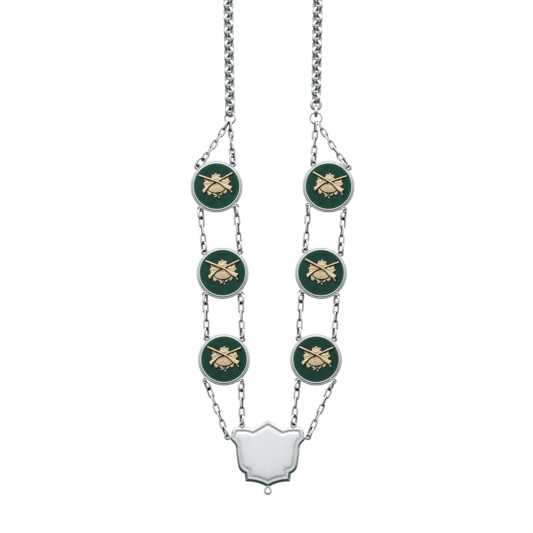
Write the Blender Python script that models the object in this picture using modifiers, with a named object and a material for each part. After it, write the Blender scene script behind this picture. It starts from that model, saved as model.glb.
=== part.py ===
# Shooting guild chain: a silver neck chain that hangs in a loop, two rows of three
# enamelled medals on fine double chains, and a shield at the bottom.
# Metres, +Z up, +X to the right and the front towards -Y.
# The origin is the top of the loop's inner side, where a peg or a neck carries the chain.

import math

import bmesh
import bpy
from mathutils import Matrix, Vector

OBJECT_NAME = "shooting_guild_chain"
MERGE_DISTANCE = 0.000001
SHARP_ANGLE = 40.0

# Clearance between pieces that touch on the real chain
GAP = 0.0003

# Neck chain: round belcher links, each turned a quarter against the next
NECK_LINKS = 42
NECK_LINK_DIAMETER = 0.0096
NECK_LINK_THICKNESS = 0.00223
NECK_LINK_WIDTH = 0.0026
NECK_LINK_INNER_FLAT = 0.0017
NECK_LINK_SHOULDER = 0.55
NECK_LINK_SIDES = 10
NECK_LINK_BITE = 0.0002
NECK_LINK_ROLL = 45.0
UNTWISTED_LINKS = 20

# The loop that the neck chain hangs in
FOOT_HALF_GAP = 0.03305
ARCH_RADIUS = 0.0356

# Clasp at the top of the loop, lying flat on what carries the chain
CLASP_DIAMETER = 0.016
CLASP_WIRE = 0.0022
CLASP_SIDES = 14
CLASP_WIRE_SIDES = 5
CLASP_PLAY = 0.0006

# Ring at each foot of the neck chain, which carries two fine chains
JUNCTION_DIAMETER = 0.0102
JUNCTION_WIRE = 0.0013
JUNCTION_SIDES = 10
JUNCTION_WIRE_SIDES = 5
JUNCTION_PLAY = 0.0005
JUNCTION_TURN = {"left": -28.0, "right": 0.0}
FOOT_TWISTED_LINKS = {"left": 0, "right": 3}

# Medals: a silver cup with a plain back, an enamel disc and a cast emblem
BEZEL_DIAMETER = 0.040
BEZEL_DEPTH = 0.0032
BEZEL_RIM_WIDTH = 0.0029
BEZEL_FLOOR = 0.0012
MEDAL_SIDES = 18
ENAMEL_THICKNESS = 0.0013

# Soldered eyelets of the medals and the shield
EYELET_DIAMETER = 0.0050
EYELET_WIRE = 0.0012
EYELET_BITE = 0.0013
EYELET_SIDES = 8
EYELET_WIRE_SIDES = 4
EYELET_HALF_ANGLE = 40.0

# Emblem: oak leaves, a target and two crossed rifles, cast in one
EMBLEM_HALF_WIDTH = 0.0123
EMBLEM_LEAF_THICKNESS = 0.0008
EMBLEM_STEP = 0.0003
EMBLEM_LAP = 0.0002
TARGET_HALF_WIDTH = 0.0066
TARGET_HALF_HEIGHT = 0.0046
TARGET_DROP = 0.0010
TARGET_SIDES = 12
RIFLE_LENGTH = 0.0264
RIFLE_CROSSING_HEIGHT = 0.0038
RIFLE_CROSSING_SHARE = 0.50
RIFLE_TILT = 27.0

# Shield
SHIELD_WIDTH = 0.0588
SHIELD_HEIGHT = 0.0518
SHIELD_THICKNESS = 0.0024
SHIELD_BORDER_WIDTH = 0.0019
SHIELD_BORDER_SLOPE = 0.0004
SHIELD_FIELD_DEPTH = 0.0005
PENDANT_RING_DIAMETER = 0.0063
PENDANT_RING_WIRE = 0.0012
PENDANT_RING_BITE = 0.0006
SHIELD_EYELET_BITE = 0.0006

# Fine chains between the medals, as plain tubes
FINE_CHAIN_DIAMETER = 0.0028
FINE_CHAIN_BEVEL_RESOLUTION = 2
FINE_CHAIN_BEND_POINTS = 6
BEND_CLEARANCE = 0.0047

# Where the medals hang: side, row, x, drop below the junction ring, turn in degrees
MEDAL_LAYOUT = [
    ("left", "top", -0.0434, 0.0525, 4.0),
    ("left", "middle", -0.0388, 0.1190, 1.0),
    ("left", "low", -0.0377, 0.1856, -1.5),
    ("right", "top", 0.0427, 0.0525, -6.5),
    ("right", "middle", 0.0369, 0.1190, -5.0),
    ("right", "low", 0.0331, 0.1856, -1.0),
]
SHIELD_X = -0.0040
SHIELD_DROP = 0.2322

# Angle at which the outer top chain rounds its medal, seen from the medal's centre
BEND_ANGLE = {"left": 110.0, "right": 69.0}

# Right half of the shield: x as a share of half the width, drop as a share of the height,
# and the arc to the next row as a bulge in shares of its chord, with its number of steps
SHIELD_OUTLINE = [
    (0.000, 0.000, 0.00, 1),
    (0.398, 0.126, 0.062, 3),
    (0.864, 0.109, 0.00, 1),
    (0.912, 0.130, 0.00, 1),
    (1.000, 0.275, 0.00, 1),
    (0.920, 0.325, -0.12, 3),
    (0.830, 0.445, 0.016, 2),
    (0.778, 0.680, 0.127, 4),
    (0.604, 0.796, 0.00, 1),
    (0.586, 0.913, -0.075, 3),
    (0.000, 1.000, 0.00, 1),
]

# Row of the outline that each shield eyelet stands on, and its share of the way to the next row
SHIELD_EYELET_ROW = {"inner": 1, "outer": 3}
SHIELD_EYELET_SHARE = {"inner": 0.60, "outer": 0.90}

# Outline of the leaves, x and y as shares of half the emblem's width, clockwise from the top
LEAF_OUTLINE = [
    (0.00, 0.79), (0.24, 0.67), (0.30, 0.50), (0.50, 0.36),
    (0.76, 0.48), (0.88, 0.24), (0.58, -0.10), (0.66, -0.38),
    (0.44, -0.54), (0.11, -0.75), (-0.24, -0.53), (-0.46, -0.54),
    (-0.62, -0.36), (-0.56, -0.10), (-0.80, 0.18), (-0.71, 0.46),
    (-0.48, 0.36), (-0.29, 0.50), (-0.23, 0.66),
]

# Outline of a rifle, along its length from the muzzle and across it, in shares of the length
RIFLE_OUTLINE = [
    (0.00, 0.018), (0.62, 0.034), (1.00, 0.012),
    (0.97, -0.085), (0.62, -0.028), (0.00, -0.018),
]


def new_material(name, color, metallic, roughness):
    material = bpy.data.materials.new(name)
    material.use_nodes = True
    shader = material.node_tree.nodes["Principled BSDF"]
    shader.inputs["Base Color"].default_value = (*color, 1.0)
    shader.inputs["Metallic"].default_value = metallic
    shader.inputs["Roughness"].default_value = roughness
    material.diffuse_color = (*color, 1.0)
    return material


def evaluated_mesh(obj):
    """The object's mesh in its own frame, with its modifiers applied and loose caps joined."""
    depsgraph = bpy.context.evaluated_depsgraph_get()
    mesh = bpy.data.meshes.new_from_object(obj.evaluated_get(depsgraph))
    editable = bmesh.new()
    editable.from_mesh(mesh)
    bmesh.ops.remove_doubles(editable, verts=editable.verts, dist=MERGE_DISTANCE)
    bmesh.ops.recalc_face_normals(editable, faces=editable.faces)
    editable.to_mesh(mesh)
    editable.free()
    bpy.data.objects.remove(obj)
    return mesh


def helper_object(name, data):
    """An object that only serves to make a mesh."""
    obj = bpy.data.objects.new(name, data)
    CUTTERS.objects.link(obj)
    obj.hide_render = True
    obj.display_type = "WIRE"
    return obj


def turned_mesh(name, profile, steps, closed):
    """A profile of (radius, height) points turned about Z."""
    mesh = bpy.data.meshes.new(name)
    edges = [(i, i + 1) for i in range(len(profile) - 1)]
    if closed:
        edges.append((len(profile) - 1, 0))
    mesh.from_pydata([(radius, 0.0, height) for radius, height in profile], edges, [])
    obj = helper_object(name, mesh)
    screw = obj.modifiers.new("turn", "SCREW")
    screw.steps = steps
    screw.render_steps = steps
    screw.use_merge_vertices = True
    screw.merge_threshold = MERGE_DISTANCE
    return evaluated_mesh(obj)


def flat_mesh(name, points, back, front):
    """A flat outline in XY, given thickness from height back to height front."""
    curve = bpy.data.curves.new(name, "CURVE")
    curve.dimensions = "2D"
    curve.fill_mode = "BOTH"
    curve.extrude = (front - back) / 2
    spline = curve.splines.new("POLY")
    spline.points.add(len(points) - 1)
    for spot, (x, y) in zip(spline.points, points):
        spot.co = (x, y, 0.0, 1.0)
    spline.use_cyclic_u = True
    mesh = evaluated_mesh(helper_object(name, curve))
    mesh.transform(Matrix.Translation((0.0, 0.0, (front + back) / 2)))
    return mesh


def ring_mesh(name, diameter, wire, sides, wire_sides):
    """A wire ring of the given outer diameter in XY, with a flat of its outline at the top."""
    bpy.ops.mesh.primitive_torus_add(
        major_segments=sides, minor_segments=wire_sides,
        major_radius=(diameter - wire) / 2, minor_radius=wire / 2)
    torus = bpy.context.object
    torus.name = name
    mesh = evaluated_mesh(torus)
    mesh.transform(Matrix.Rotation(math.pi / 2 - math.pi / sides, 4, "Z"))
    return mesh


def merged_mesh(name, placed):
    """Copies of meshes, given as (mesh, matrix) pairs, in one mesh."""
    collected = bmesh.new()
    for mesh, matrix in placed:
        copy = mesh.copy()
        copy.transform(matrix)
        collected.from_mesh(copy)
        bpy.data.meshes.remove(copy)
    merged = bpy.data.meshes.new(name)
    collected.to_mesh(merged)
    collected.free()
    return merged


def fused_mesh(name, base, *added):
    """The Boolean union of a mesh with others."""
    obj = helper_object(name, base)
    tools = []
    for mesh in added:
        tool = helper_object(mesh.name, mesh)
        tools.append(tool)
        union = obj.modifiers.new("fuse", "BOOLEAN")
        union.operation = "UNION"
        union.solver = "EXACT"
        union.object = tool
    mesh = evaluated_mesh(obj)
    for tool in tools:
        bpy.data.objects.remove(tool)
    mesh.name = name
    return mesh


def add_piece(name, mesh, material, matrix):
    """A finished piece of the chain, shaded smooth but for its sharp edges."""
    obj = bpy.data.objects.new(name, mesh)
    PIECES.objects.link(obj)
    obj.matrix_world = matrix
    if not mesh.materials:
        mesh.materials.append(material)
        mesh.shade_smooth()
        mesh.set_sharp_from_angle(angle=math.radians(SHARP_ANGLE))
    return obj


def facing(x, z, turn=0.0, forward=0.0):
    """A frame whose XY plane faces the viewer, at (x, z) and turned in that plane."""
    upright = Matrix.Rotation(math.pi / 2, 4, "X") @ Matrix.Rotation(math.radians(turn), 4, "Z")
    return Matrix.Translation((x, 0.0, z)) @ upright @ Matrix.Translation((0.0, 0.0, forward))


# Neck chain

def flat_radius(radius, sides):
    """Distance from the centre to the middle of a side of a regular outline."""
    return radius * math.cos(math.pi / sides)


NECK_LINK_HOLE = flat_radius(NECK_LINK_DIAMETER / 2 - NECK_LINK_THICKNESS, NECK_LINK_SIDES)
NECK_PITCH = 2 * NECK_LINK_HOLE + NECK_LINK_BITE
CLASP_HOLE = flat_radius(CLASP_DIAMETER / 2 - CLASP_WIRE, CLASP_SIDES)
CLASP_REACH = CLASP_HOLE - CLASP_PLAY + NECK_LINK_HOLE
STRAND_LENGTH = (NECK_LINKS - 1) * NECK_PITCH + CLASP_REACH
STRAIGHT_LENGTH = STRAND_LENGTH - ARCH_RADIUS * math.pi / 2
STRAND_HALF_WIDTH = (NECK_LINK_DIAMETER + NECK_LINK_WIDTH) / 2 * math.cos(math.radians(NECK_LINK_ROLL))
ARCH_CENTRE_Z = STRAND_HALF_WIDTH - ARCH_RADIUS
LEAN = math.asin((ARCH_RADIUS - FOOT_HALF_GAP) / STRAIGHT_LENGTH)
FOOT_Z = ARCH_CENTRE_Z - STRAIGHT_LENGTH * math.cos(LEAN)
JUNCTION_HOLE = flat_radius(JUNCTION_DIAMETER / 2 - JUNCTION_WIRE, JUNCTION_SIDES)
JUNCTION_Z = FOOT_Z - NECK_LINK_HOLE + JUNCTION_PLAY - JUNCTION_HOLE


def strand_frame(along, sign):
    """Place and direction on a strand, at a distance along it from its lowest link's centre."""
    if along < STRAIGHT_LENGTH:
        x = FOOT_HALF_GAP + along * math.sin(LEAN)
        z = FOOT_Z + along * math.cos(LEAN)
        direction = Vector((math.sin(LEAN), 0.0, math.cos(LEAN)))
    else:
        angle = (along - STRAIGHT_LENGTH) / ARCH_RADIUS
        x = ARCH_RADIUS * math.cos(angle)
        z = ARCH_CENTRE_Z + ARCH_RADIUS * math.sin(angle)
        direction = Vector((-math.sin(angle), 0.0, math.cos(angle)))
    direction.x *= sign
    return Vector((sign * x, 0.0, z)), direction


def neck_link_roll(index, side):
    """Turn of a link about the strand, in degrees: 0 faces the viewer, 90 is edge on."""
    last = NECK_LINKS - 1
    quarter_turn = 90.0 * ((last - index) % 2)
    twisted_top = max(0, index - UNTWISTED_LINKS) / (last - UNTWISTED_LINKS)
    roll = NECK_LINK_ROLL * (1 - twisted_top) + quarter_turn
    twisted_foot = FOOT_TWISTED_LINKS[side]
    if index < twisted_foot:
        foot_roll = NECK_LINK_ROLL + 90.0 * (last % 2)
        roll += (90.0 - foot_roll) * (1 - index / twisted_foot)
    return roll


def neck_link_matrix(index, side, sign):
    """Link frame: Y along the strand and Z through the link's hole."""
    place, direction = strand_frame(index * NECK_PITCH, sign)
    roll = math.radians(neck_link_roll(index, side)) * sign
    front = Vector((0.0, 1.0, 0.0))
    hole_axis = front * math.cos(roll) + direction.cross(front) * math.sin(roll)
    across = direction.cross(hole_axis)
    rotation = Matrix((across, direction, hole_axis)).transposed().to_4x4()
    return Matrix.Translation(place) @ rotation


def neck_link_mesh():
    outer = NECK_LINK_DIAMETER / 2
    inner = outer - NECK_LINK_THICKNESS
    shoulder = inner + NECK_LINK_SHOULDER * NECK_LINK_THICKNESS
    profile = [
        (shoulder, NECK_LINK_WIDTH / 2),
        (outer, 0.0),
        (shoulder, -NECK_LINK_WIDTH / 2),
        (inner, -NECK_LINK_INNER_FLAT / 2),
        (inner, NECK_LINK_INNER_FLAT / 2),
    ]
    link = turned_mesh("neck_link", profile, NECK_LINK_SIDES, closed=True)
    link.transform(Matrix.Rotation(math.pi / 2 - math.pi / NECK_LINK_SIDES, 4, "Z"))
    return link


def make_neck_chain(side, sign):
    link = neck_link_mesh()
    placed = [(link, neck_link_matrix(index, side, sign)) for index in range(NECK_LINKS)]
    even_links = merged_mesh("even_links", placed[0::2])
    odd_links = merged_mesh("odd_links", placed[1::2])
    chain = fused_mesh("neck_chain_" + side, even_links, odd_links)
    add_piece("neck_chain_" + side, chain, SILVER, Matrix.Identity(4))


def make_clasp():
    ring = ring_mesh("clasp_ring", CLASP_DIAMETER, CLASP_WIRE, CLASP_SIDES, CLASP_WIRE_SIDES)
    ring.transform(Matrix.Rotation(math.pi / 2, 4, "Z"))
    add_piece("clasp_ring", ring, SILVER, Matrix.Translation((0.0, 0.0, STRAND_HALF_WIDTH)))


def make_junction_ring(side, sign):
    ring = ring_mesh(
        "junction_ring", JUNCTION_DIAMETER, JUNCTION_WIRE, JUNCTION_SIDES, JUNCTION_WIRE_SIDES)
    turn = Matrix.Rotation(math.radians(JUNCTION_TURN[side]), 4, "Z")
    place = Matrix.Translation((sign * FOOT_HALF_GAP, 0.0, JUNCTION_Z))
    add_piece("junction_ring_" + side, ring, SILVER, place @ turn @ facing(0.0, 0.0))


# Medals

EYELET_REACH = BEZEL_DIAMETER / 2 + EYELET_DIAMETER / 2 - EYELET_BITE
BEZEL_FRONT = BEZEL_DEPTH / 2
BEZEL_FLOOR_HEIGHT = BEZEL_FLOOR - BEZEL_DEPTH / 2
ENAMEL_BACK = BEZEL_FLOOR_HEIGHT + GAP
ENAMEL_FRONT = ENAMEL_BACK + ENAMEL_THICKNESS
EMBLEM_BACK = ENAMEL_FRONT + GAP


def eyelet_angle(end, outward):
    """Angle of a medal's eyelet, at its upper or lower end, left or right of its axis."""
    middle = 90.0 if end == "upper" else 270.0
    lean = EYELET_HALF_ANGLE if end == "upper" else -EYELET_HALF_ANGLE
    return math.radians(middle - outward * lean)


def bezel_mesh():
    outer = BEZEL_DIAMETER / 2
    inner = outer - BEZEL_RIM_WIDTH
    profile = [
        (0.0, BEZEL_FLOOR_HEIGHT),
        (inner, BEZEL_FLOOR_HEIGHT),
        (inner, BEZEL_FRONT),
        (outer, BEZEL_FRONT),
        (outer, BEZEL_FRONT - BEZEL_DEPTH),
        (0.0, BEZEL_FRONT - BEZEL_DEPTH),
    ]
    cup = turned_mesh("cup", profile, MEDAL_SIDES, closed=False)
    eyelet = ring_mesh("eyelet", EYELET_DIAMETER, EYELET_WIRE, EYELET_SIDES, EYELET_WIRE_SIDES)
    placed = []
    for end in ("upper", "lower"):
        for outward in (-1, 1):
            angle = eyelet_angle(end, outward)
            spot = Matrix.Rotation(angle, 4, "Z") @ Matrix.Translation((EYELET_REACH, 0.0, 0.0))
            placed.append((eyelet, spot))
    return fused_mesh("bezel", cup, merged_mesh("eyelets", placed))


def enamel_mesh():
    radius = BEZEL_DIAMETER / 2 - BEZEL_RIM_WIDTH - GAP
    bpy.ops.mesh.primitive_cylinder_add(
        vertices=MEDAL_SIDES, radius=radius, depth=ENAMEL_THICKNESS,
        location=(0.0, 0.0, 0.0))
    mesh = evaluated_mesh(bpy.context.object)
    mesh.transform(Matrix.Rotation(math.pi / 2, 4, "Z"))
    mesh.transform(Matrix.Translation((0.0, 0.0, (ENAMEL_BACK + ENAMEL_FRONT) / 2)))
    return mesh


def rifle_mesh(name, sign, front):
    """A rifle whose muzzle points up to the left (sign 1) or up to the right (sign -1)."""
    points = []
    for along, across in RIFLE_OUTLINE:
        x = (along - RIFLE_CROSSING_SHARE) * RIFLE_LENGTH
        points.append((sign * x, across * RIFLE_LENGTH))
    mesh = flat_mesh(name, points, EMBLEM_BACK + EMBLEM_LAP, front)
    mesh.transform(Matrix.Rotation(math.radians(-sign * RIFLE_TILT), 4, "Z"))
    mesh.transform(Matrix.Translation((0.0, RIFLE_CROSSING_HEIGHT, 0.0)))
    return mesh


def target_mesh(front):
    back = EMBLEM_BACK + EMBLEM_LAP
    bpy.ops.mesh.primitive_cylinder_add(vertices=TARGET_SIDES, radius=1.0, depth=front - back)
    mesh = evaluated_mesh(bpy.context.object)
    mesh.transform(Matrix.Diagonal((TARGET_HALF_WIDTH, TARGET_HALF_HEIGHT, 1.0, 1.0)))
    mesh.transform(Matrix.Translation((0.0, -TARGET_DROP, (front + back) / 2)))
    return mesh


def emblem_mesh():
    leaf_front = EMBLEM_BACK + EMBLEM_LEAF_THICKNESS
    outline = [(x * EMBLEM_HALF_WIDTH, y * EMBLEM_HALF_WIDTH) for x, y in LEAF_OUTLINE]
    leaves = flat_mesh("leaves", outline, EMBLEM_BACK, leaf_front)
    target = target_mesh(leaf_front + EMBLEM_STEP)
    lower_rifle = rifle_mesh("lower_rifle", -1, leaf_front + 2 * EMBLEM_STEP)
    upper_rifle = rifle_mesh("upper_rifle", 1, leaf_front + 3 * EMBLEM_STEP)
    return fused_mesh("emblem", leaves, target, lower_rifle, upper_rifle)


def make_medals():
    bezel = bezel_mesh()
    enamel = enamel_mesh()
    emblem = emblem_mesh()
    for side, row, x, drop, turn in MEDAL_LAYOUT:
        name = "medal_" + side + "_" + row
        place = facing(x, JUNCTION_Z - drop, turn)
        add_piece(name + "_bezel", bezel, SILVER, place)
        add_piece(name + "_enamel", enamel, ENAMEL, place)
        add_piece(name + "_emblem", emblem, GOLD, place)


# Shield

def outline_point(row):
    """A row's point on the right half of the outline, from the shield's top point."""
    x, drop, _, _ = SHIELD_OUTLINE[row]
    return Vector((x * SHIELD_WIDTH / 2, -drop * SHIELD_HEIGHT))


def outline_chord(row):
    """The way to the next row's point, and the direction that leads off the shield there."""
    chord = outline_point(row + 1) - outline_point(row)
    return chord, Vector((-chord.y, chord.x))


def shield_points():
    """The whole outline, with its top point at the origin."""
    right = []
    last = len(SHIELD_OUTLINE) - 1
    for row in range(last):
        _, _, bulge, steps = SHIELD_OUTLINE[row]
        chord, outward = outline_chord(row)
        for step in range(steps):
            share = step / steps
            arc = outward * bulge * 4 * share * (1 - share)
            right.append(outline_point(row) + chord * share + arc)
    right.append(outline_point(last))
    left = [Vector((-point.x, point.y)) for point in reversed(right[1:-1])]
    return [tuple(point) for point in right + left]


def shield_eyelet_spot(which, sign):
    """Centre of the right (sign 1) or left (sign -1) eyelet, from the shield's top point."""
    row = SHIELD_EYELET_ROW[which]
    chord, outward = outline_chord(row)
    reach = EYELET_DIAMETER / 2 - SHIELD_EYELET_BITE
    spot = outline_point(row) + chord * SHIELD_EYELET_SHARE[which] + outward.normalized() * reach
    return Vector((sign * spot.x, spot.y))


def make_shield():
    front = SHIELD_THICKNESS / 2
    plate = flat_mesh("plate", shield_points(), -front, front)
    editable = bmesh.new()
    editable.from_mesh(plate)
    field = [face for face in editable.faces if face.calc_center_median().z > front / 2]
    bmesh.ops.inset_region(
        editable, faces=field, thickness=SHIELD_BORDER_WIDTH, use_even_offset=True)
    bmesh.ops.inset_region(
        editable, faces=field, thickness=SHIELD_BORDER_SLOPE, depth=-SHIELD_FIELD_DEPTH,
        use_even_offset=True)
    editable.to_mesh(plate)
    editable.free()
    eyelet = ring_mesh("eyelet", EYELET_DIAMETER, EYELET_WIRE, EYELET_SIDES, EYELET_WIRE_SIDES)
    pendant_ring = ring_mesh(
        "pendant_ring", PENDANT_RING_DIAMETER, PENDANT_RING_WIRE, EYELET_SIDES, EYELET_WIRE_SIDES)
    placed = []
    for which in SHIELD_EYELET_ROW:
        for sign in (-1, 1):
            spot = shield_eyelet_spot(which, sign)
            placed.append((eyelet, Matrix.Translation((spot.x, spot.y, 0.0))))
    ring_drop = SHIELD_HEIGHT - PENDANT_RING_BITE + PENDANT_RING_DIAMETER / 2
    placed.append((pendant_ring, Matrix.Translation((0.0, -ring_drop, 0.0))))
    shield = fused_mesh("shield", plate, merged_mesh("shield_rings", placed))
    add_piece("shield", shield, SILVER, facing(SHIELD_X, JUNCTION_Z - SHIELD_DROP))


# Fine chains

def make_fine_chain(name, start, end, start_clear, end_clear, bend=None):
    """A tube from one ring's centre to another's that stops short of both rings."""
    if bend is None:
        guide = (start + end) / 2
        count = 2
    else:
        share = (bend - start).length / ((bend - start).length + (end - bend).length)
        straight = start * (1 - share) ** 2 + end * share ** 2
        guide = (bend - straight) / (2 * share * (1 - share))
        count = FINE_CHAIN_BEND_POINTS
    first = start + (guide - start).normalized() * start_clear
    last = end + (guide - end).normalized() * end_clear
    curve = bpy.data.curves.new(name, "CURVE")
    curve.dimensions = "3D"
    curve.bevel_depth = FINE_CHAIN_DIAMETER / 2
    curve.bevel_resolution = FINE_CHAIN_BEVEL_RESOLUTION
    curve.use_fill_caps = True
    spline = curve.splines.new("POLY")
    spline.points.add(count - 1)
    for index, spot in enumerate(spline.points):
        share = index / (count - 1)
        flat = first * (1 - share) ** 2 + guide * 2 * share * (1 - share) + last * share ** 2
        spot.co = (flat.x, 0.0, flat.y, 1.0)
    curve.materials.append(SILVER)
    obj = bpy.data.objects.new(name, curve)
    PIECES.objects.link(obj)


def medal_eyelet_spot(medal, end, outward):
    _, _, x, drop, turn = medal
    angle = eyelet_angle(end, outward) + math.radians(turn)
    centre = Vector((x, JUNCTION_Z - drop))
    return centre + Vector((math.cos(angle), math.sin(angle))) * EYELET_REACH


def top_medal_bend(side, medal):
    """Where the outer chain rounds the top medal on its way to the far eyelet."""
    _, _, x, drop, _ = medal
    angle = math.radians(BEND_ANGLE[side])
    reach = BEZEL_DIAMETER / 2 + BEND_CLEARANCE
    return Vector((x, JUNCTION_Z - drop)) + Vector((math.cos(angle), math.sin(angle))) * reach


def make_fine_chains(side, sign):
    """Two chains from the junction ring down through the medals to the shield."""
    top, middle, low = [medal for medal in MEDAL_LAYOUT if medal[0] == side]
    ring = Vector((sign * FOOT_HALF_GAP, JUNCTION_Z))
    shield = Vector((SHIELD_X, JUNCTION_Z - SHIELD_DROP))
    ring_clear = JUNCTION_DIAMETER / 2 + GAP
    eyelet_clear = EYELET_DIAMETER / 2 + GAP
    for track, outward in (("outer", sign), ("inner", -sign)):
        bend = top_medal_bend(side, top) if track == "outer" else None
        first = medal_eyelet_spot(top, "upper", outward)
        name = "chain_" + side + "_top_" + track
        make_fine_chain(name, ring, first, ring_clear, eyelet_clear, bend)
        spans = [
            ("upper", medal_eyelet_spot(top, "lower", outward),
             medal_eyelet_spot(middle, "upper", outward)),
            ("lower", medal_eyelet_spot(middle, "lower", outward),
             medal_eyelet_spot(low, "upper", outward)),
            ("bottom", medal_eyelet_spot(low, "lower", outward),
             shield + shield_eyelet_spot(track, sign)),
        ]
        for label, start, end in spans:
            name = "chain_" + side + "_" + label + "_" + track
            make_fine_chain(name, start, end, eyelet_clear, eyelet_clear)


def new_collection(name):
    collection = bpy.data.collections.new(name)
    bpy.context.scene.collection.children.link(collection)
    return collection


for existing in list(bpy.data.objects):
    bpy.data.objects.remove(existing)

PIECES = new_collection(OBJECT_NAME)
CUTTERS = new_collection("cutters")
SILVER = new_material("silver", (0.80, 0.81, 0.82), 1.0, 0.22)
ENAMEL = new_material("green_enamel", (0.016, 0.085, 0.055), 0.0, 0.12)
GOLD = new_material("gilt", (0.86, 0.68, 0.40), 1.0, 0.30)

make_clasp()
for side_name, side_sign in (("left", -1), ("right", 1)):
    make_neck_chain(side_name, side_sign)
    make_junction_ring(side_name, side_sign)
    make_fine_chains(side_name, side_sign)
make_medals()
make_shield()
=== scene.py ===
import math
import random
from functools import partial

import bmesh
import bpy
import numpy
from mathutils import Matrix, Vector
from mathutils.geometry import delaunay_2d_cdt


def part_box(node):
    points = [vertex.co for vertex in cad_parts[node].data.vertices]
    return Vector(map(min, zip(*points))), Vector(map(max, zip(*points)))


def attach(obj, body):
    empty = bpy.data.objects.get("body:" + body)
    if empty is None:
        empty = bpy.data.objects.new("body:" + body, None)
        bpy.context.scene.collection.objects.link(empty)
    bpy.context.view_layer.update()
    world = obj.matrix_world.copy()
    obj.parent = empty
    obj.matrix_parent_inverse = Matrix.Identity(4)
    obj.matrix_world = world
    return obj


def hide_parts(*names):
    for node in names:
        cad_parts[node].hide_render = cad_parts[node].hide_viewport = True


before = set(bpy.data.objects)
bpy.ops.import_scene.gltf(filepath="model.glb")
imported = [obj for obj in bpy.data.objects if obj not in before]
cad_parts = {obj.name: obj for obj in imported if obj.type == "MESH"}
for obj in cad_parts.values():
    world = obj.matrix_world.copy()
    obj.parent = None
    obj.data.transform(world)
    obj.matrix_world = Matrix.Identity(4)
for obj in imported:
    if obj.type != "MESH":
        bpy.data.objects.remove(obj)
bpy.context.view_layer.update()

# Shooting guild chain: neck chain, six enamelled medals on fine chains, and a shield.
# Shapes are drawn in millimetres, x to the right, y up and z towards the viewer.
mm = 0.001
sharpAngle = math.radians(38)
weldDistance = 0.0001
mitreLimit = 0.25
unmoved = Matrix.Identity(4)
sides = {"Left": -1, "Right": 1}
rows = ["Top", "Middle", "Low"]


# Shader maths
class Value:  # an output socket that takes part in expressions
    def __init__(self, shader, socket):
        self.shader = shader
        self.socket = socket

    def maths(self, operation, first, second=None):
        inputs = {0: first} if second is None else {0: first, 1: second}
        return self.shader.node("ShaderNodeMath", {"operation": operation}, inputs)

    def __add__(self, other):
        return self.maths("ADD", self, other)

    def __radd__(self, other):
        return self.maths("ADD", other, self)

    def __sub__(self, other):
        return self.maths("SUBTRACT", self, other)

    def __rsub__(self, other):
        return self.maths("SUBTRACT", other, self)

    def __mul__(self, other):
        return self.maths("MULTIPLY", self, other)

    def __rmul__(self, other):
        return self.maths("MULTIPLY", other, self)

    def __abs__(self):
        return self.maths("ABSOLUTE", self)


class Shader:  # a node tree that is filled by calls
    def __init__(self, tree):
        self.tree = tree
        tree.nodes.clear()

    def node(self, kind, settings=None, inputs=None, output=0):
        made = self.tree.nodes.new(kind)
        for name, setting in (settings or {}).items():
            if name == "stops":
                self.setStops(made.color_ramp, setting)
            else:
                setattr(made, name, setting)
        for name, given in (inputs or {}).items():
            if isinstance(given, Value):
                self.tree.links.new(given.socket, made.inputs[name])
            else:
                made.inputs[name].default_value = given
        return Value(self, made.outputs[output]) if made.outputs else None

    def setStops(self, ramp, stops):
        while len(ramp.elements) < len(stops):
            ramp.elements.new(1.0)
        for element, (position, color) in zip(ramp.elements, stops):
            element.position = position
            element.color = (*color, 1.0)

    def objectPoint(self):
        return self.node("ShaderNodeTexCoord", output="Object")

    def noise(self, point, scale, detail, roughness=0.5):
        return self.node("ShaderNodeTexNoise", None, {
            "Vector": point, "Scale": scale, "Detail": detail, "Roughness": roughness})

    def stretched(self, point, stretch):
        return self.node("ShaderNodeVectorMath", {"operation": "MULTIPLY"}, {0: point, 1: stretch})

    def largest(self, first, *others):
        for other in others:
            first = first.maths("MAXIMUM", first, other)
        return first

    def mixColor(self, factor, first, second):
        return self.node("ShaderNodeMix", {"data_type": "RGBA"}, {0: factor, 6: first, 7: second}, 2)

    def remap(self, value, low, high, newLow=0.0, newHigh=1.0):
        return self.node("ShaderNodeMapRange", None, {
            0: value, 1: low, 2: high, 3: newLow, 4: newHigh})

    def bump(self, height, strength, distance=0.0001):
        return self.node("ShaderNodeBump", None, {
            "Height": height, "Strength": strength, "Distance": distance})


def rgb(red, green, blue):
    return (red, green, blue, 1.0)


def surface(name, build):
    material = bpy.data.materials.new(name)
    material.use_nodes = True
    shader = Shader(material.node_tree)
    bsdf = shader.node("ShaderNodeBsdfPrincipled", None, build(shader))
    shader.node("ShaderNodeOutputMaterial", None, {"Surface": bsdf})
    return material


# The tarnish colours stand for tarnish and for painted shade in crevices and where links touch
silverLook = {
    "clean": rgb(0.93, 0.935, 0.94), "worn": rgb(0.87, 0.88, 0.885), "tarnishAndShade": rgb(0.15, 0.145, 0.12),
    "roughness": (0.07, 0.15), "metallic": 1.0,
}
chainLook = {
    "clean": rgb(0.96, 0.975, 0.98), "worn": rgb(0.90, 0.92, 0.925), "tarnishAndShade": rgb(0.04, 0.055, 0.05),
    "roughness": (0.06, 0.12), "metallic": 0.97,
}
# Patches and scratches, alike on all polished silver. A noise is its scale, detail and
# roughness, and a range is the part of a noise or mask that a change is spread over.
polish = {
    "patch": (110, 4, 0.6), "wornRange": (0.35, 0.75), "patchInTarnishAndShade": 0.2, "tarnishAndShadeRange": (0.22, 1.05),
    "scratch": (1900, 2), "scratchStretch": (1.0, 1.0, 0.18), "scratchBump": 0.02,
    "scratchInRoughness": 0.3, "roughRange": (0.4, 0.95),
}


def recess(shader):  # 0 on the open faces, 1 in the crevices; on the metals it carries painted shade and tarnish, on the enamel its lighter rim
    return shader.node("ShaderNodeAttribute", {"attribute_name": "recess"}, output="Fac")


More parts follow.
